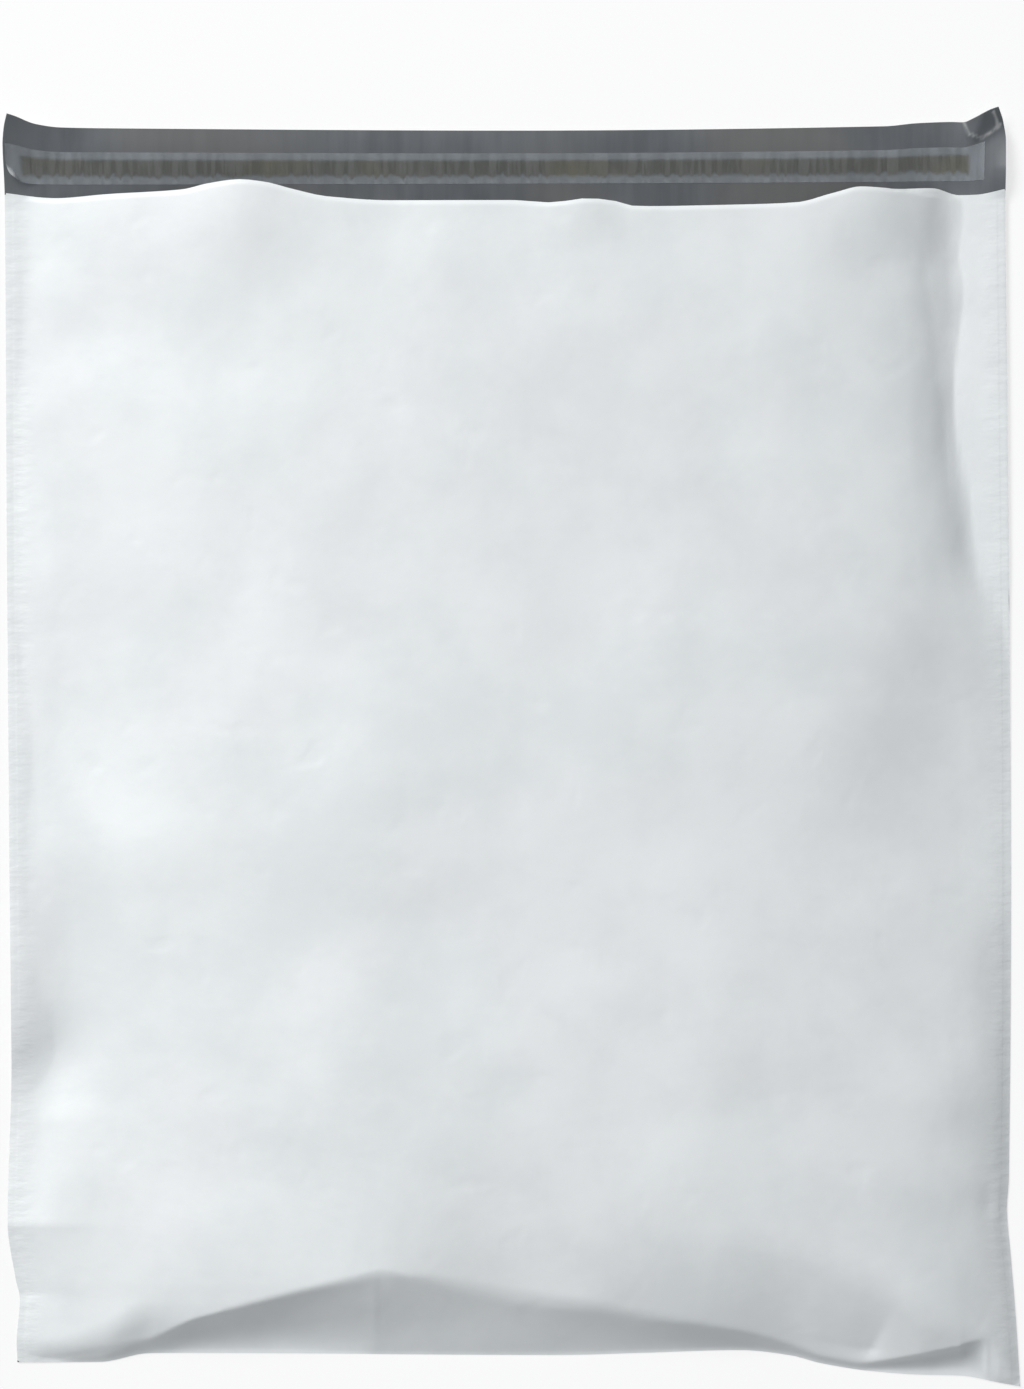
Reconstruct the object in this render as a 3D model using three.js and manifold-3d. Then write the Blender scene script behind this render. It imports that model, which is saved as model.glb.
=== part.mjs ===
// A poly mailer bag that lies on its back, opened and puffed out as if filled.
// Millimetres, +Z up, +X across the bag, +Y from the bottom fold towards the flap.
// The origin is on the resting face, under the middle of the whole bag.
import * as THREE from "three";
import { mergeVertices } from "three/addons/utils/BufferGeometryUtils.js";
import Module from "manifold-3d";

const wasm = await Module();
wasm.setup();

// Driving dimensions of the film bag
const BAG_WIDTH = 483; // across the cut edges of the two side welds
const BODY_LENGTH = 562; // bottom fold to front lip
const FLAP_LENGTH = 32; // front lip to the flap's cut edge
const FILM = 0.0635; // gauge of the film
const WELD_WIDTH = 4; // side weld, where the two panels are fused
const POCKET_HEIGHT = 32; // clear height under the puffed front panel
const SIDE_RUN = 58; // width of the slope from a side weld up to the level front
const BOTTOM_RUN = 44; // length of the slope from the bottom fold up to the level front
const SHOULDER = 10; // height over which a slope rounds into the level front
const PANEL_GAP = 0.05; // between the two panels where they start to part

// Driving dimensions of the closure on the flap
const GLUE_WIDTH = 9;
const GLUE_THICKNESS = 0.1;
const GLUE_END_MARGIN = 7; // liner that runs on past each end of the glue
const LINER_WIDTH = 16;
const LINER_THICKNESS = 0.05;
const LINER_FROM_FLAP_EDGE = 12; // flap's cut edge to the liner
const LINER_LEFT_MARGIN = 1; // left cut edge to the liner's end
const LINER_RIGHT_MARGIN = 10; // right cut edge to the liner's end

// How finely the formed film is divided
const SLOPE_STEPS = 7;
const LEVEL_STEPS = 6;

const halfWidth = BAG_WIDTH / 2;
const halfLength = (BODY_LENGTH + FLAP_LENGTH) / 2;
const bottom = -halfLength;
const lip = bottom + BODY_LENGTH;
const flapEdge = halfLength;
const weldLine = halfWidth - WELD_WIDTH;
const pocketStart = bottom + FILM;

// The smaller of two heights, rounded over the given height where they cross.
function softMin(a, b, rounding) {
  const overlap = Math.max(rounding - Math.abs(a - b), 0) / rounding;
  return Math.min(a, b) - (overlap * overlap * rounding) / 4;
}

// Gap between the two panels: a level front that slopes down to the welds and the fold.
function panelGap(x, y) {
  const fromWeld = Math.max(weldLine - Math.abs(x), 0);
  const fromFold = Math.max(y - pocketStart, 0);
  const sideSlope = (POCKET_HEIGHT * fromWeld) / SIDE_RUN;
  const bottomSlope = (POCKET_HEIGHT * fromFold) / BOTTOM_RUN;
  const slopes = softMin(sideSlope, bottomSlope, SHOULDER);
  return Math.max(softMin(slopes, POCKET_HEIGHT, SHOULDER), PANEL_GAP);
}

// Evenly spaced values from one end to the other, both included.
function spaced(from, to, steps) {
  return Array.from({ length: steps + 1 }, (_, i) => from + ((to - from) * i) / steps);
}

// A closed block on a grid of columns and rows, between a lower and an upper surface.
function formedBlock(columns, rows, lower, upper) {
  const across = columns.length - 1;
  const along = rows.length - 1;
  const geometry = new THREE.BoxGeometry(1, 1, 1, across, along, 1);
  const place = geometry.getAttribute("position");
  for (let i = 0; i < place.count; i++) {
    const x = columns[Math.round((place.getX(i) + 0.5) * across)];
    const y = rows[Math.round((place.getY(i) + 0.5) * along)];
    const surface = place.getZ(i) < 0 ? lower : upper;
    place.setXYZ(i, x, y, surface(x, y));
  }
  return geometry;
}

// A closed geometry as a solid that can be cut and joined.
function solidFrom(geometry) {
  const bare = geometry.clone();
  bare.deleteAttribute("normal");
  bare.deleteAttribute("uv");
  const merged = mergeVertices(bare, FILM / 100);
  return new wasm.Manifold(
    new wasm.Mesh({
      numProp: 3,
      vertProperties: new Float32Array(merged.getAttribute("position").array),
      triVerts: new Uint32Array(merged.index.array),
    }),
  );
}

// A solid's triangles as a geometry again.
function geometryFrom(solid) {
  const mesh = solid.getMesh();
  const geometry = new THREE.BufferGeometry();
  geometry.setAttribute("position", new THREE.BufferAttribute(mesh.vertProperties, 3));
  geometry.setIndex(new THREE.BufferAttribute(mesh.triVerts, 1));
  geometry.computeVertexNormals();
  return geometry;
}

function named(name, geometry, material) {
  const mesh = new THREE.Mesh(geometry, material);
  mesh.name = name;
  return mesh;
}

const whiteFilm = new THREE.MeshStandardMaterial({ color: 0xe1e5e6, roughness: 0.45 });
const glueMaterial = new THREE.MeshStandardMaterial({ color: 0x64645c, roughness: 0.3 });
const linerMaterial = new THREE.MeshStandardMaterial({ color: 0x7d8084, roughness: 0.35 });

// Film bag: one web folded at the bottom, its panels fused along both sides,
// and the back panel left longer than the front to make the flap.
function filmBag() {
  const slopeWidth = SIDE_RUN + SHOULDER;
  const slopeLength = BOTTOM_RUN + SHOULDER;
  const openColumns = [
    ...spaced(-weldLine, -weldLine + slopeWidth, SLOPE_STEPS),
    ...spaced(-weldLine + slopeWidth, weldLine - slopeWidth, LEVEL_STEPS).slice(1, -1),
    ...spaced(weldLine - slopeWidth, weldLine, SLOPE_STEPS),
  ];
  const openRows = [
    ...spaced(pocketStart, pocketStart + slopeLength, SLOPE_STEPS),
    ...spaced(pocketStart + slopeLength, lip, LEVEL_STEPS).slice(1),
  ];
  const columns = [-halfWidth, ...openColumns, halfWidth];
  const envelope = formedBlock(
    columns,
    [bottom, ...openRows],
    () => 0,
    (x, y) => 2 * FILM + panelGap(x, y),
  );
  const pastLip = lip + FLAP_LENGTH;
  const pocket = formedBlock(
    openColumns,
    [...openRows, pastLip],
    () => FILM,
    (x, y) => FILM + panelGap(x, y),
  );
  const flap = formedBlock(
    columns,
    [lip, flapEdge],
    () => 0,
    () => FILM,
  );
  const bag = solidFrom(envelope).subtract(solidFrom(pocket)).add(solidFrom(flap));
  return named("film_bag", geometryFrom(bag), whiteFilm);
}

// A flat strip that runs across the flap, its underside at the given height.
function flapStrip(name, left, right, width, middle, thickness, underside, material) {
  const strip = named(name, new THREE.BoxGeometry(right - left, width, thickness), material);
  strip.position.set((left + right) / 2, middle, underside + thickness / 2);
  return strip;
}

// Closure: a band of pressure-sensitive glue on the flap's inner face, under a peel-off liner.
const linerLeft = -halfWidth + LINER_LEFT_MARGIN;
const linerRight = halfWidth - LINER_RIGHT_MARGIN;
const closureMiddle = flapEdge - LINER_FROM_FLAP_EDGE - LINER_WIDTH / 2;

const glueStrip = flapStrip(
  "glue_strip",
  linerLeft + GLUE_END_MARGIN,
  linerRight - GLUE_END_MARGIN,
  GLUE_WIDTH,
  closureMiddle,
  GLUE_THICKNESS,
  FILM,
  glueMaterial,
);
const releaseLiner = flapStrip(
  "release_liner",
  linerLeft,
  linerRight,
  LINER_WIDTH,
  closureMiddle,
  LINER_THICKNESS,
  FILM + GLUE_THICKNESS,
  linerMaterial,
);

const mailer = new THREE.Group();
mailer.add(filmBag(), glueStrip, releaseLiner);

export default mailer;
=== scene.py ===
"""A white film mailer bag that lies open on its back and stays puffed out, as if filled.

Metres, in the part's own frame: +X across the bag, +Y from the bottom fold to the flap, +Z up.
"""

import bpy
import numpy as np
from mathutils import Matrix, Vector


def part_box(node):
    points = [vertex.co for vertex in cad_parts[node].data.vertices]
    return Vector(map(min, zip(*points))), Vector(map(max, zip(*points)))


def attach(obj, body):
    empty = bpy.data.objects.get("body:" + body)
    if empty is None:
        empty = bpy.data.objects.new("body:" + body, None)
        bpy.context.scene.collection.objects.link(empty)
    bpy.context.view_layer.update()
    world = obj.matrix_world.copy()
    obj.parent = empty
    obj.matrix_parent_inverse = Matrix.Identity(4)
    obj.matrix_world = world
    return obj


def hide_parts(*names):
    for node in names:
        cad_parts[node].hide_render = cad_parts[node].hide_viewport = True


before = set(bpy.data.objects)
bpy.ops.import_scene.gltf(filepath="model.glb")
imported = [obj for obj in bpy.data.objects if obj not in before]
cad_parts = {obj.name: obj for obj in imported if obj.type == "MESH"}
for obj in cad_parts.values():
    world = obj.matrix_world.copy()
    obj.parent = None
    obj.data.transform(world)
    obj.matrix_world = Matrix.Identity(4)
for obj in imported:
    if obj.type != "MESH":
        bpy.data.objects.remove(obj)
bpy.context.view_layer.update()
mm = 0.001

# Film bag
# One web of blown film, white outside and grey inside, folded across the bottom end.
# Heat bars fuse its two panels along both sides, and the longer back panel makes the flap.
bag_low, bag_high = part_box("film_bag")
BAG_WIDTH = bag_high[0] - bag_low[0]
FLAP_LENGTH = 32 * mm
BODY_LENGTH = bag_high[1] - bag_low[1] - FLAP_LENGTH
FILM_GAUGE = 0.0635 * mm
WELD_WIDTH = 4 * mm
FLOOR_GAP = 0.1 * mm
WELD_THICKNESS = 2.5 * FILM_GAUGE
LIP_ROLL = 1.6 * mm
LIP_DROP = 0.9 * mm
PUFF_HEIGHT = 30 * mm
END_RUN = 95 * mm
CREST_BLEND = 40 * mm
LEFT_LIFT_FALL = 30 * mm
RIGHT_LIFT_FALL = 23 * mm
WELD_FOLLOW = 10 * mm
LEFT_MARGIN_FADE = 80 * mm
RIGHT_MARGIN_FADE = 75 * mm
PANEL_GAP = 0.3 * mm
FLAP_RISE = 2.5 * mm
CORNER_LIFT = 9 * mm
CORNER_BEND = 0.7
CORNER_FLARE = 11.9 * mm
EDGE_ROLL = 0.36


def curve(at, *knots):
    """A smooth curve through (place, value) knots in millimetres: a cubic from each to the next, whose
    slope at a knot is the harmonic mean of the slopes beside it, or level where their signs differ."""
    place, value = np.array(knots, float).T * mm
    rise = np.diff(value) / np.diff(place)
    before, after = rise[:-1], rise[1:]
    mean = 2 * np.maximum(before * after, 0) / np.maximum(np.abs(before + after), 1e-12)
    slope = np.concatenate([rise[:1], np.sign(after) * mean, rise[-1:]])
    at = np.clip(at, place[0], place[-1])
    i = np.clip(np.searchsorted(place, at) - 1, 0, len(place) - 2)
    step = place[i + 1] - place[i]
    t = (at - place[i]) / step
    start = (1 + 2 * t) * (1 - t) ** 2 * value[i] + t * (1 - t) ** 2 * step * slope[i]
    end = t**2 * (3 - 2 * t) * value[i + 1] + t**2 * (t - 1) * step * slope[i + 1]
    return start + end


def straight(at, *knots):
    """Straight lines through (place, value) knots in millimetres, for edges that keep their corners."""
    place, value = np.array(knots, float).T * mm
    return np.interp(at, place, value)


def ease(t):
    """A rise from 0 to 1 that starts and ends level: 3 t squared minus 2 t cubed."""
    t = np.clip(t, 0, 1)
    return t * t * (3 - 2 * t)


def rounded_min(a, b, rounding):
    """The smaller of two heights, less a parabola where they come within the rounding of each other."""
    overlap = np.maximum(rounding - np.abs(a - b), 0) / rounding
    return np.minimum(a, b) - overlap * overlap * rounding / 4


def left_edge(y):
    """Plan x of the left weld's outer edge, at places along the bag."""
    return curve(
        y, (-297, -238.8), (-287, -239.1), (-267, -237.6), (-257, -239.6), (-229, -243.4),
        (-147, -241.5), (-50, -242.5), (90, -243.9), (264, -244.9), (284, -245.5), (291, -244.8),
        (297, -243.2),
    )


def right_edge(y):
    """Plan x of the right weld's outer edge, at places along the bag."""
    return curve(
        y, (-309, 245.4), (-277, 243.4), (-248, 241), (-224, 239.1), (-209, 240), (-74, 241),
        (167, 239.1), (266, 238.1), (284, 238.2), (291, 237), (297, 234.3),
    )


def fold_edge(x):
    """Plan y of the bottom fold, at places across the bag."""
    return curve(
        x, (-239, -297.3), (-199, -297.2), (-175, -293), (-155, -292.9), (23, -293.9), (62, -292.9),
        (110, -291.5), (134, -293.9), (149, -297.8), (173, -301.6), (197, -303.4), (216, -303.8),
        (236, -307.3), (245, -308.9),
    )


def lip_edge(x):
    """Plan y of the front panel's cut edge, at places across the bag."""
    return curve(
        x, (-246, 267.3), (-219, 264.6), (-195, 266.2), (-159, 268), (-146, 270.8), (-131, 272.6),
        (-119, 271.4), (-105, 267.9), (-89, 264.5), (-58, 262.6), (0, 262.6), (19, 261.4), (36, 263.3),
        (46, 262.8), (60, 259.7), (111, 260.6), (136, 261.6), (155, 266.4), (168, 269.4), (186, 268.6),
        (203, 269.3), (216, 266.2), (224, 266.4), (238, 269),
    )


def flap_edge(x):
    """Plan y of the flap's cut edge, at places across the bag."""
    return curve(
        x, (-244, 305), (-240, 303.9), (-230, 300.2), (-218, 298.7), (-194, 298.4), (0, 297.3),
        (180, 299.4), (196, 300.9), (212, 301.4), (218, 301.2), (222, 302.7), (231, 307.2),
        (235, 308.6),
    )


def across_bag(across, along):
    """Plan x of a spot on the flat web: an even share of the way from the left edge to the right. The right
    side starts lower, at its flared bottom corner, and makes up for that on the way to the lip."""
    y = along - (BODY_LENGTH + FLAP_LENGTH) / 2
    right_y = y - CORNER_FLARE * np.clip(1 - along / BODY_LENGTH, 0, 1)
    share = across / BAG_WIDTH
    return left_edge(y) * (1 - share) + right_edge(right_y) * share


def waves(x, y, seed, shortest, longest, count=28):
    """Gentle unevenness: a sum of plane waves of random heading and phase, with lengths spread between
    the shortest and the longest and heights in proportion to them, scaled to a mean square of 1."""
    draw = np.random.default_rng(seed)
    heading = draw.uniform(0, 2 * np.pi, count)
    phase = draw.uniform(0, 2 * np.pi, count)
    length = np.geomspace(shortest, longest, count)
    turn = 2 * np.pi / length
    angle = x[..., None] * turn * np.cos(heading) + y[..., None] * turn * np.sin(heading) + phase
    return (np.sin(angle) * length).sum(-1) / np.sqrt((length**2).sum() / 2)


def crease(x, y, path, height, left_width, right_width, fade_in=0.3, fade_out=0.3, form="sharp"):
    """A crease along a path of (x, y) points in millimetres. Its height falls off with the distance to
    the path over one width on each side: as an exponential where it is sharp, a bell where it is round,
    or a straight line where it is flat. It fades in and out over a share of the path's length."""
    points = np.array(path, float) * mm
    starts, steps = points[:-1], np.diff(points, axis=0)
    lengths = np.linalg.norm(steps, axis=1)
    before = np.concatenate([[0], np.cumsum(lengths)[:-1]])
    offset = np.stack([x, y], -1)[..., None, :] - starts
    share = np.clip((offset * steps).sum(-1) / lengths**2, 0, 1)
    distance = np.linalg.norm(offset - share[..., None] * steps, axis=-1)
    nearest = distance.argmin(-1)[..., None]
    side = steps[:, 0] * offset[..., 1] - steps[:, 1] * offset[..., 0]

    def pick(values):
        """The values that belong to the nearest stretch of the path."""
        return np.take_along_axis(values, nearest, -1)[..., 0]

    along = pick(before + share * lengths) / lengths.sum()
    off = pick(distance) / np.where(pick(side) > 0, left_width, right_width)
    fade = ease(along / max(fade_in, 1e-6)) * ease((1 - along) / max(fade_out, 1e-6))
    falls = {"sharp": np.exp(-off), "round": np.exp(-(off**2)), "flat": np.maximum(1 - off, 0)}
    return height * fade * falls[form]


def weld_lift(x, y):
    """How far the two buckled welds stand off the floor, fading out towards the middle as a bell does.
    The left weld's buckles run inwards aslant, by a share of the distance from the edge, and near the
    bottom it has a sharp ridge and a sharp valley."""
    from_left = x - left_edge(y)
    aslant = curve(y, (-235, 0), (-165, 0.6), (-60, 0.6), (40, 0)) / mm
    left = curve(
        y - aslant * np.clip(from_left, 0, 60 * mm),
        (-297, 0.6), (-285, 2), (-264, 1.4), (-231, 0.8), (-200, 0.8), (-175, 0.8), (-162, 1.8),
        (-146, 5), (-130, 7), (-110, 7.4), (-60, 5.8), (0, 3), (60, 1), (200, 1.2), (264, 1.5),
    )
    right = curve(
        y, (-309, 0.6), (-277, 0.5), (-240, 0.3), (-213, 0.5), (-200, 0.3), (-50, 0.3), (60, 1.2),
        (90, 2), (180, 2.4), (250, 2.6), (268, 2.6),
    )
    left_fall = np.exp(-((from_left / LEFT_LIFT_FALL) ** 2))
    from_right = right_edge(y) - x
    right_fall = np.exp(-((from_right / RIGHT_LIFT_FALL) ** 2))
    ridge = crease(x, y, [(-252, -231.2), (-186, -229.9)], 3.8 * mm, 26 * mm, 19 * mm, 0, 0.8)
    valley = crease(x, y, [(-252, -264.3), (-212, -263.8)], -1.3 * mm, 16 * mm, 12 * mm, 0, 0.7)
    return left * left_fall + right * right_fall + ridge + valley


def left_side(y, from_left):
    """Height of the puff's left side: nothing over a flat margin, then a climb that eases off inwards,
    with its foot rounded most where the margin is wide."""
    margin = curve(
        y, (-297, 4), (-262, 4), (-231, 3), (-200, 5), (-182, 8), (-166, 15), (-145, 20), (-105, 20),
        (-75, 15), (-45, 10), (0, 10), (40, 7), (90, 4), (150, 4), (200, 8), (264, 10),
    )
    inwards = from_left - margin * np.exp(-((from_left / LEFT_MARGIN_FADE) ** 2))
    rounding = curve(y, (-235, 1.5), (-190, 3), (-100, 4), (-60, 2), (-30, 1))
    climb = curve(
        inwards, (-60, -15), (0, 0), (18, 4.4), (38, 9.2), (60, 13.8), (90, 18.8), (107, 21),
        (140, 24.5), (178, 27.3), (235, 29.6), (600, 33),
    )
    return -rounded_min(-climb, 0, rounding)


def right_side(y, from_right):
    """Height of the puff's right side: the same, but with a wide flat margin in its upper third whose inner
    edge runs unevenly. The margin counts less further in, as a bell does. The climb is steep at its foot,
    and gentle about the middle of the side, with a share of each between."""
    margin = curve(
        y, (-300, 0), (40, 0), (62, 5), (80, 14), (94, 19), (103, 20), (120, 23), (143, 25.5),
        (167, 26), (190, 28), (216, 28), (240, 30), (264, 29),
    )
    inwards = from_right - margin * np.exp(-((from_right / RIGHT_MARGIN_FADE) ** 2))
    rounding = curve(y, (-300, 0.2), (40, 0.2), (94, 4), (150, 6.5), (264, 6.5))
    steep = curve(
        inwards, (-60, -32), (0, 0), (8, 5.2), (16, 9.4), (24, 12.4), (31, 14.5), (51, 18.6), (76, 22),
        (116, 25.6), (166, 28.2), (237, 29.8), (600, 33),
    )
    gentle = curve(
        inwards, (-60, -18), (0, 0), (8, 2.2), (16, 4.5), (31, 8.7), (51, 14), (76, 19), (116, 24.2),
        (166, 27.8), (237, 29.8), (600, 33),
    )
    steepness = curve(y, (-170, 1), (-100, 0.5), (-40, 0), (30, 0), (65, 0.5), (94, 1)) / mm
    climb = gentle + (steep - gentle) * steepness
    return -rounded_min(-climb, 0, rounding)


def bottom_end(x, y):
    """Height of the puff over the bottom fold: a hollow slope from the fold up to a crest, and above the
    crest a parabola that climbs to the full height and ends level."""
    from_fold = np.maximum(y - fold_edge(x), 0)
    reach = straight(
        x, (-239, 1.5), (-222, 2), (-210, 3.4), (-190, 5.6), (-175, 7), (-153, 17.5), (-131, 24),
        (-102, 32.5), (-63.1, 43), (-30, 36), (1, 29), (40, 24.5), (62, 19), (108, 9.7), (139, 4),
        (168, 3), (197, 10.5), (216, 15), (231, 22.5),
    )
    height_knots = (
        (-239, 0.4), (-222, 1), (-210, 3), (-190, 5.6), (-175, 7), (-153, 16.5), (-131, 21.5),
        (-102, 25.2), (-63.1, 28.4), (-30, 24), (1, 21.5), (40, 21.5), (62, 18.5), (108, 11.5),
        (139, 4.6), (168, 3), (197, 9.6), (216, 11), (231, 10.5),
    )
    kinked, smooth = straight(x, *height_knots), curve(x, *height_knots)
    rounding = straight(
        x, (-239, 2), (-222, 3), (-199, 3), (-175, 1), (-80, 0.5), (-63.1, 0.3), (-45, 1.5), (-30, 2.5),
        (1, 4), (62, 4), (80, 2), (108, 1), (139, 0.5), (231, 0.3),
    )
    hollow = straight(
        x, (-175, 1.2), (-153, 1.9), (-131, 1.9), (-102, 1.75), (-66, 1.08), (0, 1.1), (40, 1.25),
        (108, 1.5), (168, 1.4), (185, 2.6), (219, 3), (229, 1.1), (235, 0.8),
    ) / mm
    t = np.maximum(from_fold / reach, 1e-6)
    slope = kinked * np.where(t < 1, t**hollow, 1 + hollow * (t - 1))
    past_crest = from_fold - reach
    start = kinked + (smooth - kinked) * ease(past_crest / CREST_BLEND)
    climb = 1 - (1 - np.clip(past_crest / END_RUN, 0, 1)) ** 2
    front = start + (PUFF_HEIGHT - start) * climb
    return rounded_min(slope, front, rounding)


def puff_height(x, y):
    """How far the front panel stands up: the lowest of the two sides and the bottom end."""
    sides = rounded_min(left_side(y, x - left_edge(y)), right_side(y, right_edge(y) - x), 4 * mm)
    towards_lip = curve(y, (-300, 1), (-180, 1), (-40, 0.9), (120, 0.86), (275, 0.8)) / mm
    return np.maximum(rounded_min(sides * towards_lip, bottom_end(x, y), 3 * mm), 0)


def crease_ridge_and_highlight(x, y):
    """How sharply the flap's right corner was creased, from 0 to 1: high along three kinked lines.
    It raises a small ridge there and sets where the grey film gets its painted highlight.
    """
    foot = [(217, 303), (220, 295.8), (226.5, 293.4), (236.5, 300.2)]
    crease_highlight_mask = (
        crease(x, y, foot, 1, 1.1 * mm, 1.1 * mm, 0, 0)
        + crease(x, y, [(231.5, 307), (234.6, 299.4)], 1, 0.9 * mm, 0.9 * mm, 0, 0)
        + crease(x, y, [(222, 302.5), (231.5, 307)], 0.6, 0.9 * mm, 0.9 * mm, 0.2, 0.2)
    )
    return np.clip(crease_highlight_mask, 0, 1)


def back_height(x, y):
    """Height of the back panel: flat on the floor, with its welds and the flap's corners lifted. It follows
    the front panel's slope across the right weld. The flap's left corner curls up as a parabola, and the
    right one is bent up along a kinked crease."""
    past_weld = right_edge(y) - x - WELD_WIDTH
    share = curve(y, (-285, 0), (-262, 0.75), (-20, 0.75), (20, 0)) / mm
    followed = share * puff_height(x, y) * (1 - ease(past_weld / WELD_FOLLOW))
    flap = FLAP_RISE * ease((y - 264 * mm) / (30 * mm))
    past_curl = np.maximum((-x - 214 * mm) * 0.75 + (y - 284 * mm) * 0.75, 0)
    left_curl = CORNER_LIFT * (past_curl / (34 * mm)) ** 2
    beside = (x - 217.5 * mm) * 0.9 + (y - 300 * mm) * 0.3
    above = (y - 293.2 * mm) * 0.82 - (x - 226.5 * mm) * 0.58
    bent = CORNER_BEND * np.maximum(rounded_min(beside, above, 0.6 * mm), 0)
    below_crease = np.clip((299 * mm - y) / (20 * mm), 0, 1) * ease((y - 262 * mm) / (14 * mm))
    roll = EDGE_ROLL * np.maximum(x - 227 * mm, 0) * below_crease
    lifted = flap + left_curl + bent + roll + 0.8 * mm * crease_ridge_and_highlight(x, y)
    return FLOOR_GAP + weld_lift(x, y) + followed + lifted


def back_panel(across, along):
    """Places on the back panel's outer face, from distances across the web and along it from the fold."""
    x = across_bag(across, along)
    lip_ends = straight(x, (-246, 267.3), (238, 269))
    body = np.clip(along / BODY_LENGTH, 0, 1)
    flap = np.clip((along - BODY_LENGTH) / FLAP_LENGTH, 0, 1)
    y = fold_edge(x) * (1 - body) + lip_ends * (body - flap) + flap_edge(x) * flap
    return np.stack([x, y, back_height(x, y)], -1)


def front_panel(across, along):
    """Places on the front panel's outer face, from distances across the web and along it from the fold.
    Creases, waves and humps at the lip are added to the puff."""
    x = across_bag(across, along)
    body = along / BODY_LENGTH
    y = fold_edge(x) * (1 - body) + lip_edge(x) * body
    from_left = x - left_edge(y)
    from_right = right_edge(y) - x
    from_lip = lip_edge(x) - y
    lip_humps = (
        crease(x, y, [(-131, 274), (-146, 190)], 5.5 * mm, 24 * mm, 58 * mm, 0, 0.9, "round")
        + crease(x, y, [(37, 266), (35, 235)], 3 * mm, 11 * mm, 24 * mm, 0, 0.9, "round")
        + crease(x, y, [(62, 262), (65, 240)], 1.0 * mm, 4 * mm, 9 * mm, 0, 0.9, "round")
        + crease(x, y, [(174, 270), (166, 220)], 3 * mm, 22 * mm, 40 * mm, 0, 0.9, "round")
    )
    margin_fold = [(196, 258), (202, 206), (209, 150), (212, 100)]
    folds = (
        crease(x, y, [(168, -303), (187, -262)], -2.4 * mm, 15 * mm, 6 * mm, 0, 0.9)
        + crease(x, y, [(246, -222), (232, -221), (222, -219)], -1.2 * mm, 5 * mm, 7 * mm, 0, 0.6, "round")
        + crease(x, y, margin_fold, -1.1 * mm, 14 * mm, 8 * mm, 0.2, 0.3)
    )
    from_weld = np.minimum(np.minimum(from_left, from_right), y - fold_edge(x)) - WELD_WIDTH
    uneven = 0.75 * mm * waves(x, y, 3, 40 * mm, 220 * mm)
    creased_margin = np.exp(-(((from_right - 28 * mm) / (22 * mm)) ** 2)) * ease((y - 50 * mm) / (50 * mm))
    uneven = uneven + 0.15 * mm * waves(x, y / 2, 9, 8 * mm, 30 * mm) * creased_margin
    off_sides = ease(from_left / (20 * mm)) * ease(from_right / (20 * mm))
    lip_turn = LIP_DROP * ease(1 - from_lip / LIP_ROLL) * off_sides
    z = FLOOR_GAP + weld_lift(x, y) + puff_height(x, y) + lip_humps - lip_turn
    z = z + folds * ease(from_weld / (8 * mm)) + uneven * ease(from_weld / (22 * mm))
    least = back_height(x, y) + WELD_THICKNESS + PANEL_GAP * ease(from_weld / (16 * mm))
    return np.stack([x, y, np.maximum(z, least)], -1)


def grid_lines(*runs):
    """Grid lines one after the other: each run is a length in millimetres and its number of steps."""
    lengths, steps = np.array(runs, float).T
    ends = np.concatenate([[0], np.cumsum(lengths)])
    parts = [np.linspace(a, b, int(n), endpoint=False) for a, b, n in zip(ends[:-1], ends[1:], steps)]
    return np.concatenate(parts + [ends[-1:]]) * mm


def pouch(front, back):
    """Points and faces of a pouch from two grids of points, the back one with half the front's lines.
    The grids share the points of both sides and of the fold. A back face at such an edge takes in the
    front's extra point there, and faces with fewer points than seven are filled up with -1."""
    columns, rows = front.shape[:2]
    half_columns, half_rows = columns // 2, rows // 2
    front_index = np.arange(columns * rows).reshape(columns, rows)
    own = np.ones(back.shape[:2], bool)
    own[:, 0] = False
    own[[0, -1], : half_rows + 1] = False
    back_index = np.zeros(back.shape[:2], int)
    back_index[own] = front_index.size + np.arange(own.sum())
    back_index[:, 0] = front_index[::2, 0]
    back_index[0, : half_rows + 1] = front_index[0, ::2]
    back_index[-1, : half_rows + 1] = front_index[-1, ::2]
    points = np.concatenate([front.reshape(-1, 3), back[own]])

    front_faces = np.full((columns - 1, rows - 1, 7), -1)
    front_faces[..., 0] = front_index[:-1, :-1]
    front_faces[..., 1] = front_index[1:, :-1]
    front_faces[..., 2] = front_index[1:, 1:]
    front_faces[..., 3] = front_index[:-1, 1:]
    back_faces = np.full((half_columns, back.shape[1] - 1, 7), -1)
    back_faces[..., 0] = back_index[:-1, :-1]
    back_faces[0, :half_rows, 1] = front_index[0, 1::2]
    back_faces[..., 2] = back_index[:-1, 1:]
    back_faces[..., 3] = back_index[1:, 1:]
    back_faces[-1, :half_rows, 4] = front_index[-1, 1::2]
    back_faces[..., 5] = back_index[1:, :-1]
    back_faces[:, 0, 6] = front_index[1::2, 0]
    return points, own, np.concatenate([front_faces.reshape(-1, 7), back_faces.reshape(-1, 7)])


def mesh_piece(name, points, faces, flat_places, *materials):
    """An object of one mesh, smooth all over, with places on the flat sheet as its UV map."""
    mesh = bpy.data.meshes.new(name)
    filled = faces >= 0
    corners = faces[filled]
    mesh.from_pydata(points, [], np.split(corners, np.cumsum(filled.sum(1))[:-1]))
    mesh.shade_smooth()
    layer = mesh.uv_layers.new(name="flat_place")
    layer.data.foreach_set("uv", flat_places[corners].ravel())
    for material in materials:
        mesh.materials.append(material)
    mesh.validate()
    piece = bpy.data.objects.new(name, mesh)
    bpy.context.scene.collection.objects.link(piece)
    return piece


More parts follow.
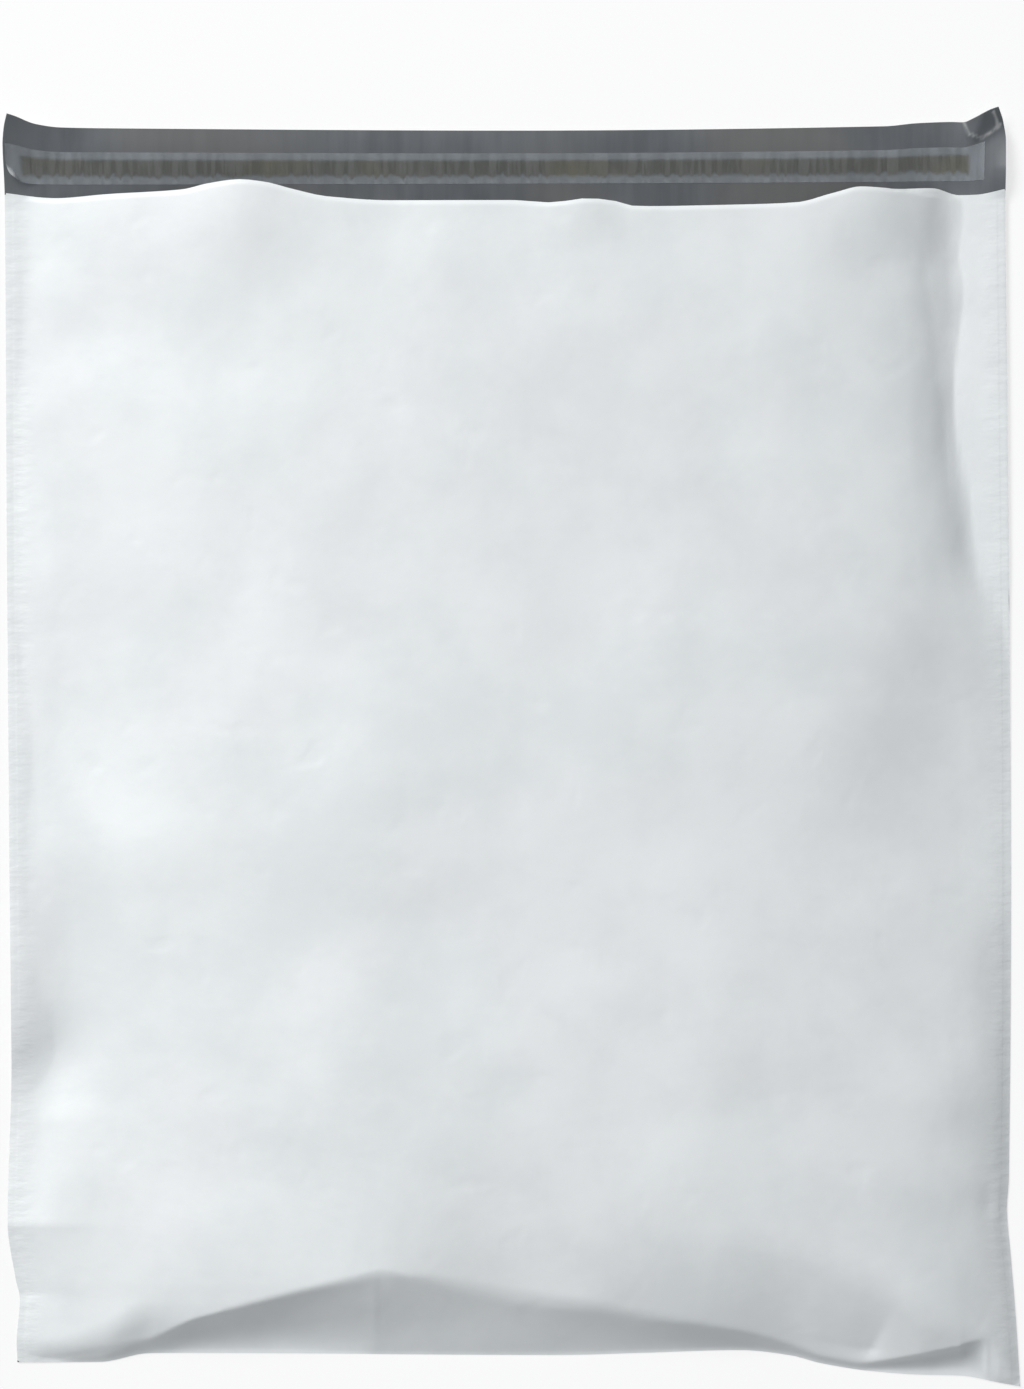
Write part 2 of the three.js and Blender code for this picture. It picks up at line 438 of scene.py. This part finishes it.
class Socket:
    """A node's output in a material. Operators on it add Math nodes, and add() adds any other node."""

    def __init__(self, tree, out=None):
        self.tree = tree
        self.out = out

    def add(self, kind, settings, values, output=0):
        """Adds a node: its settings first, then a value or a link for each of its named sockets."""
        node = self.tree.nodes.new(kind)
        for name, setting in settings.items():
            setattr(node, name, setting)
        for name, value in values.items():
            if isinstance(value, Socket):
                self.tree.links.new(value.out, node.inputs[name])
            else:
                node.inputs[name].default_value = value
        return Socket(self.tree, node.outputs[output] if node.outputs else None)

    def math(self, operation, first, second):
        return self.add("ShaderNodeMath", {"operation": operation}, {0: first, 1: second})

    def __add__(self, other):
        return self.math("ADD", self, other)

    def __sub__(self, other):
        return self.math("SUBTRACT", self, other)

    def __rsub__(self, other):
        return self.math("SUBTRACT", other, self)

    def __mul__(self, other):
        return self.math("MULTIPLY", self, other)

    def __abs__(self):
        return self.math("ABSOLUTE", self, 0.0)

    __radd__ = __add__
    __rmul__ = __mul__

    def between(self, low, high):
        """0 below low and 1 above high, with an easy rise between."""
        values = {"Value": self, "From Min": low, "From Max": high}
        return self.add("ShaderNodeMapRange", {"interpolation_type": "SMOOTHSTEP"}, values)

    def noise(self, scale, detail=2.0, roughness=0.5):
        values = {"Vector": self, "Scale": scale, "Detail": detail, "Roughness": roughness}
        return self.add("ShaderNodeTexNoise", {}, values)

    def stretched(self, x, y, z):
        """Coordinates with each axis scaled."""
        return self.add("ShaderNodeMapping", {}, {"Vector": self, "Scale": (x, y, z)})

    def blend(self, first, second):
        """A colour that goes from the first to the second as this value goes from 0 to 1."""
        return self.add("ShaderNodeMix", {"data_type": "RGBA"}, {0: self, 6: first, 7: second}, 2)


def new_material(name):
    """An empty material, with its tree, object coordinates and flat sheet places as sockets."""
    material = bpy.data.materials.new(name)
    material.use_nodes = True
    material.node_tree.nodes.clear()
    tree = Socket(material.node_tree)
    place = tree.add("ShaderNodeTexCoord", {}, {}, "Object")
    flat = tree.add("ShaderNodeUVMap", {"uv_map": "flat_place"}, {})
    return material, tree, place, flat


def surface(tree, relief, depth, values):
    """Ends a material with a principled shader whose bump has the given relief, in units of the depth."""
    bump = tree.add("ShaderNodeBump", {}, {"Height": relief, "Strength": 1.0, "Distance": depth})
    shader = tree.add("ShaderNodeBsdfPrincipled", {}, {"Normal": bump, **values})
    tree.add("ShaderNodeOutputMaterial", {}, {"Surface": shader})


def white_film():
    """Opaque white film: cloudy from uneven stretch, semi-gloss, with sparse small dents and a line of
    pressed ribs where the heat bars fused it."""
    material, tree, place, flat = new_material("white_film")
    cloud = (0.55 * place.noise(13.0, 5.0, 0.6) + 0.45 * place.noise(34.0, 4.0, 0.6)).between(0.38, 0.62)
    cool = cloud.blend((0.716, 0.745, 0.752, 1), (0.765, 0.792, 0.797, 1))
    warm = cloud.blend((0.722, 0.740, 0.748, 1), (0.771, 0.788, 0.795, 1))
    colour = place.noise(8.0, 3.0, 0.55).between(0.46, 0.58).blend(cool, warm)
    dents = place.noise(58.0, 1.0, 0.4).between(0.6, 0.85)
    crumple = place.noise(45.0, 3.0, 0.5)
    across = flat.add("ShaderNodeSeparateXYZ", {}, {0: flat})
    from_edge = BAG_WIDTH / 2 - abs(across - BAG_WIDTH / 2)
    weld = 1 - from_edge.between(WELD_WIDTH * 0.85, WELD_WIDTH * 1.1)
    near_weld = 1 - from_edge.between(WELD_WIDTH, 4 * WELD_WIDTH)
    crinkle = place.stretched(80.0, 210.0, 80.0).noise(1.0, 3.0, 0.55)
    fine = place.noise(150.0, 3.0, 0.55)
    relief = 0.25 * crumple + 0.08 * fine - 0.15 * dents + 0.5 * (crinkle * near_weld) - 0.05 * weld
    roughness = 0.36 + 0.14 * crumple
    surface(tree, relief, mm, {"Base Color": colour, "Roughness": roughness, "IOR": 1.5})
    return material


def grey_film():
    """The web's inner layer: grey with carbon black in it, warmer and cooler in patches, a little streaky
    along the web, and painted pale along the corner's creases: a painted highlight for their glint, partly
    stress whitening."""
    material, tree, place, flat = new_material("grey_film")
    streak = place.stretched(170.0, 14.0, 14.0).noise(1.0, 3.0, 0.55)
    cloud = place.noise(22.0, 3.0, 0.5)
    shade = 0.4 * streak + 0.6 * cloud
    cool = shade.between(0.35, 0.65).blend((0.066, 0.073, 0.080, 1), (0.100, 0.107, 0.116, 1))
    warm = 0.6 * place.noise(11.0, 1.0, 0.4).between(0.45, 0.65)
    film = warm.blend(cool, (0.104, 0.102, 0.095, 1))
    # Painted highlight: the grey is lightened along the flap corner's creases to stand for their glint.
    painted_highlight = tree.add("ShaderNodeAttribute", {"attribute_name": "painted_crease_highlight"}, {}, "Fac")
    colour = painted_highlight.between(0.25, 1.0).blend(film, (0.33, 0.335, 0.34, 1))
    relief = 0.04 * place.noise(170.0, 3.0, 0.6) + 0.3 * place.noise(38.0, 2.0, 0.5)
    roughness = 0.34 + 0.16 * cloud
    surface(tree, relief, mm, {"Base Color": colour, "Roughness": roughness, "IOR": 1.5})
    return material


columns = grid_lines((30, 28), (70, 34), (65, 14), (25, 20), (193, 24), (70, 36), (30, 40))
rows = grid_lines((66, 68), (94, 46), (334, 40), (58, 22), (10, 10))
flap_rows = BODY_LENGTH + grid_lines((32, 24))[1:]
back_rows = np.concatenate([rows[::2], flap_rows])
front_spots = np.stack(np.meshgrid(columns, rows, indexing="ij"), -1)
back_spots = np.stack(np.meshgrid(columns[::2], back_rows, indexing="ij"), -1)
front = front_panel(front_spots[..., 0], front_spots[..., 1])
back = back_panel(back_spots[..., 0], back_spots[..., 1])
side_ends = front[[0, -1]]
side_ends[..., 2] -= WELD_THICKNESS / 2
front[[0, -1]] = side_ends
points, own, faces = pouch(front, back)
flat_places = np.concatenate([front_spots.reshape(-1, 2), back_spots[own]])
film_bag = mesh_piece("film_web", points, faces, flat_places, white_film(), grey_film())
# The crease lines go on the mesh as a mask for the grey film's painted highlight.
crease_highlight_mask = film_bag.data.attributes.new("painted_crease_highlight", "FLOAT", "POINT")
crease_highlight_mask.data.foreach_set("value", crease_ridge_and_highlight(points[:, 0], points[:, 1]))
wall = film_bag.modifiers.new("gauge", "SOLIDIFY")
wall.thickness = FILM_GAUGE
wall.offset = -1
wall.material_offset = 1
evaluated = film_bag.evaluated_get(bpy.context.evaluated_depsgraph_get())
walled = bpy.data.meshes.new_from_object(evaluated)
film_bag.modifiers.clear()
film_bag.data = walled
walled.set_sharp_from_angle(angle=np.radians(70))
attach(film_bag, "root")
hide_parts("film_bag")

# Glue strip
# A band of pressure-sensitive hot-melt glue, laid on the flap's inner face by a slot nozzle.
# It is clear, so it shows as a darker olive band, drawn out into short streaks across it.
liner_low, liner_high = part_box("release_liner")
glue_low, glue_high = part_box("glue_strip")
GLUE_THICKNESS = glue_high[2] - glue_low[2]


def square_to(face):
    """Unit normals of a grid of points: the cross product of its two directions."""
    normal = np.cross(np.gradient(face, axis=0), np.gradient(face, axis=1))
    return normal / np.linalg.norm(normal, axis=-1, keepdims=True)


def square_to_flap(spots):
    """Unit normals of the flap at spots on the web, from the slopes over a short step each way."""
    step = 0.5 * mm
    across, along = spots[..., 0], spots[..., 1]
    sideways = back_panel(across + step, along) - back_panel(across - step, along)
    lengthways = back_panel(across, along + step) - back_panel(across, along - step)
    normal = np.cross(sideways, lengthways)
    return normal / np.linalg.norm(normal, axis=-1, keepdims=True)


def slab(lower, upper):
    """Points and faces of a closed block between two grids of points, its four sides walled with quads."""
    columns, rows = lower.shape[:2]
    low = np.arange(columns * rows).reshape(columns, rows)
    high = low + low.size
    top = np.stack([high[:-1, :-1], high[1:, :-1], high[1:, 1:], high[:-1, 1:]], -1)
    base = np.stack([low[:-1, :-1], low[:-1, 1:], low[1:, 1:], low[1:, :-1]], -1)
    rim = np.concatenate([low[:, 0], low[-1, 1:], low[-2::-1, -1], low[0, -2:0:-1]])
    ahead = np.roll(rim, -1)
    walls = np.stack([rim, ahead, ahead + low.size, rim + low.size], -1)
    points = np.concatenate([lower.reshape(-1, 3), upper.reshape(-1, 3)])
    return points, np.concatenate([top.reshape(-1, 4), base.reshape(-1, 4), walls])


def flap_strip(name, spots, under, thickness, material):
    """A strip that follows the flap, from its spots on the web, its height over the flap's inner face,
    measured square to the flap, and its thickness, measured square to the strip."""
    flap = back_panel(spots[..., 0], spots[..., 1])
    lower = flap + square_to_flap(spots) * (FILM_GAUGE + under)[..., None]
    upper = lower + square_to(lower) * thickness[..., None]
    points, faces = slab(lower, upper)
    piece = mesh_piece(name, points, faces, np.tile(spots.reshape(-1, 2), (2, 1)), material)
    piece.data.set_sharp_from_angle(angle=np.radians(50))
    return piece


def glue_finish():
    """Clear tacky glue over grey film: olive in patches and glossy, with streaks across the band where it
    was drawn out."""
    material, tree, place, flat = new_material("glue")
    streak = place.stretched(330.0, 26.0, 26.0).noise(1.0, 3.0, 0.6)
    patch = place.noise(21.0, 2.0, 0.5)
    clear = (0.75 * streak + 0.25 * patch).between(0.42, 0.58)
    grey = clear.blend((0.045, 0.049, 0.047, 1), (0.135, 0.143, 0.143, 1))
    olive = clear.blend((0.075, 0.072, 0.050, 1), (0.135, 0.128, 0.090, 1))
    colour = patch.between(0.48, 0.62).blend(grey, olive)
    surface(tree, 0.25 * streak, mm, {"Base Color": colour, "Roughness": 0.25 + 0.2 * streak, "IOR": 1.5})
    return material


def strip_spots(low, high, steps, rows, ragged):
    """Spots on the web for a strip with the given corners, its lower edge made ragged by short waves."""
    across = np.linspace(low[0], high[0], steps + 1) - bag_low[0]
    bottom = low[1] - bag_low[1] + ragged * waves(across, 0 * across, 11, 1.6 * mm, 9 * mm)
    top = high[1] - bag_low[1] + 0 * across
    share = np.linspace(0, 1, rows + 1)
    along = bottom[:, None] * (1 - share) + top[:, None] * share
    return np.stack([np.broadcast_to(across[:, None], along.shape), along], -1)


glue_spots = strip_spots(glue_low, glue_high, 640, 8, 0.5 * mm)
glue_wave = waves(glue_spots[..., 0], glue_spots[..., 1] / 6, 5, 1.5 * mm, 8 * mm)
glue_depth = GLUE_THICKNESS * (0.8 + 0.12 * glue_wave)
glue_band = flap_strip("glue_band", glue_spots, 0.002 * mm + 0 * glue_depth, glue_depth, glue_finish())
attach(glue_band, "root")
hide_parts("glue_strip")

# Release liner
# A strip of translucent siliconised film that covers the glue and is peeled off to close the bag.
# Only the glue holds it, so its edges stand free and the lower left corner has lifted.
LINER_THICKNESS = liner_high[2] - liner_low[2]
CURL_ACROSS = 17 * mm
CURL_ALONG = 12 * mm
CURL_RADIUS = 5 * mm


def liner_finish():
    """Thin glossy release film: milky along its free edges, clear where the glue wets it, with short
    streaks across it and a ragged lower edge to the wetted band. The lifted corner's tip is painted near
    white and more opaque: a painted highlight for its curl catching the light, partly a milkier look over
    the air under it."""
    material, tree, place, flat = new_material("liner_film")
    streak = place.stretched(330.0, 26.0, 60.0).noise(1.0, 3.0, 0.6)
    haze = place.noise(60.0, 2.0, 0.5)
    across = flat.add("ShaderNodeSeparateXYZ", {}, {0: flat}, "X")
    along = flat.add("ShaderNodeSeparateXYZ", {}, {0: flat}, "Y")
    wet_left, wet_right = glue_low[0] - bag_low[0], glue_high[0] - bag_low[0]
    wet_low, wet_high = glue_low[1] - bag_low[1], glue_high[1] - bag_low[1]
    ragged = along + 9 * mm * (streak - 0.5)
    low_edge = ragged.between(wet_low - mm, wet_low + 2 * mm)
    high_edge = along.between(wet_high - 1.5 * mm, wet_high + mm)
    left_end = across.between(wet_left - 2 * mm, wet_left + 3 * mm)
    right_end = across.between(wet_right - 2 * mm, wet_right + mm)
    wetted = low_edge * (1 - high_edge) * (left_end - right_end)
    dry = streak.between(0.35, 0.65).blend((0.26, 0.285, 0.31, 1), (0.36, 0.39, 0.42, 1))
    past_end = across - (liner_low[0] - bag_low[0])
    past_low_edge = along - (liner_low[1] - bag_low[1])
    from_tip = past_end * (1 / CURL_ACROSS) + past_low_edge * (1 / CURL_ALONG)
    # Painted highlight: the curled tip of the lifted corner is made near white and more opaque to stand for
    # its glint.
    painted_tip_glint = (1 - from_tip.between(0.5, 0.72)) * (1 - past_end.between(2.5 * mm, 5 * mm))
    colour = painted_tip_glint.blend(wetted.blend(dry, (0.17, 0.172, 0.155, 1)), (0.85, 0.87, 0.88, 1))
    opacity = 0.38 + 0.16 * (haze - 0.5) - wetted * (0.25 - 0.2 * streak) + 0.55 * painted_tip_glint
    values = {"Base Color": colour, "Roughness": 0.2 + 0.12 * haze, "IOR": 1.45, "Alpha": opacity}
    surface(tree, 0.25 * haze + 0.1 * streak, mm, values)
    return material


liner_spots = strip_spots(liner_low, liner_high, 320, 24, 0)
from_end = liner_spots[..., 0] - liner_spots[0, 0, 0]
from_low_edge = liner_spots[..., 1] - liner_spots[0, 0, 1]
curl_normal = np.array([1 / CURL_ACROSS, 1 / CURL_ALONG])
curl_reach = 1 / np.linalg.norm(curl_normal)
past_curl = curl_reach * np.maximum(1 - from_end / CURL_ACROSS - from_low_edge / CURL_ALONG, 0)
drawn_in = past_curl - CURL_RADIUS * np.sin(past_curl / CURL_RADIUS)
lifted = CURL_RADIUS * (1 - np.cos(past_curl / CURL_RADIUS))
sway = 0.06 * mm * (1 + waves(liner_spots[..., 0], liner_spots[..., 1], 8, 14 * mm, 70 * mm) / 3)
liner_under = 1.25 * GLUE_THICKNESS + lifted + sway
liner_spots = liner_spots + drawn_in[..., None] * curl_normal * curl_reach
liner_depth = LINER_THICKNESS + 0 * sway
liner_strip = flap_strip("liner_strip", liner_spots, liner_under, liner_depth, liner_finish())
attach(liner_strip, "root")
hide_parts("release_liner")

# Floor, light and camera
# A pale floor, a large soft lamp from the upper left and an even sky, with the camera
# straight above the bag and far enough away that its height hardly shifts the picture.
PIXEL = 0.483 * mm
PICTURE = (1024, 1389)
BAG_MIDDLE_ROW = 746.5
CAMERA_HEIGHT = 4.0
SKY_LEVEL = 0.28
SKY_COLOUR = (0.965, 1.0, 1.035, 1)
LAMP_PLACE = np.array([-3.0, 3.0, 4.25])
LAMP_SIZE = 3.0
LAMP_POWER = 365.0
FLOOR_SIZE = 12.0
FLOOR_GLOW = 0.7


def seen_rays(tree):
    """1 where the camera, a reflection or a ray through a clear film looks, and 0 for light that falls."""
    camera = tree.add("ShaderNodeLightPath", {}, {}, "Is Camera Ray")
    glossy = tree.add("ShaderNodeLightPath", {}, {}, "Is Glossy Ray")
    through = tree.add("ShaderNodeLightPath", {}, {}, "Is Transmission Ray")
    return tree.math("MAXIMUM", camera, tree.math("MAXIMUM", glossy, through))


def floor_finish():
    """White paper. Seen directly it is mostly its own light, so that it stays white beside the shadow."""
    material, tree, place, flat = new_material("floor_paper")
    paper = tree.add("ShaderNodeBsdfDiffuse", {}, {"Color": (0.9, 0.9, 0.9, 1)})
    glow = tree.add("ShaderNodeEmission", {}, {"Color": (1, 1, 1, 1), "Strength": 1.0})
    mixed = tree.add("ShaderNodeMixShader", {}, {0: FLOOR_GLOW * seen_rays(tree), 1: paper, 2: glow})
    tree.add("ShaderNodeOutputMaterial", {}, {"Surface": mixed})
    return material


def plain_world():
    """An even sky that lights softly and is white where it is seen."""
    world = bpy.data.worlds.new("plain_sky")
    world.use_nodes = True
    world.node_tree.nodes.clear()
    tree = Socket(world.node_tree)
    strength = SKY_LEVEL + (1 - SKY_LEVEL) * seen_rays(tree)
    sky = tree.add("ShaderNodeBackground", {}, {"Color": SKY_COLOUR, "Strength": strength})
    tree.add("ShaderNodeOutputWorld", {}, {"Surface": sky})
    return world


half_floor = FLOOR_SIZE / 2
floor_mesh = bpy.data.meshes.new("floor")
floor_corners = half_floor * np.array([(-1, -1, 0), (1, -1, 0), (1, 1, 0), (-1, 1, 0)])
floor_mesh.from_pydata(floor_corners, [], [(0, 1, 2, 3)])
floor_mesh.materials.append(floor_finish())
floor = bpy.data.objects.new("floor", floor_mesh)
bpy.context.scene.collection.objects.link(floor)

lamp_data = bpy.data.lights.new("soft_lamp", "AREA")
lamp_data.size = LAMP_SIZE
lamp_data.energy = LAMP_POWER
lamp = bpy.data.objects.new("soft_lamp", lamp_data)
lamp.location = LAMP_PLACE
lamp.rotation_euler = (-Vector(LAMP_PLACE)).to_track_quat("-Z", "Y").to_euler()
bpy.context.scene.collection.objects.link(lamp)
bpy.context.scene.world = plain_world()
bpy.context.scene.view_settings.view_transform = "Standard"

camera_data = bpy.data.cameras.new("camera")
camera_data.sensor_fit = "VERTICAL"
camera_data.sensor_height = 36.0
camera_data.lens = camera_data.sensor_height * CAMERA_HEIGHT / (PICTURE[1] * PIXEL)
camera = bpy.data.objects.new("camera", camera_data)
camera.location = (0, (BAG_MIDDLE_ROW - PICTURE[1] / 2) * PIXEL, CAMERA_HEIGHT)
bpy.context.scene.collection.objects.link(camera)
bpy.context.scene.camera = camera
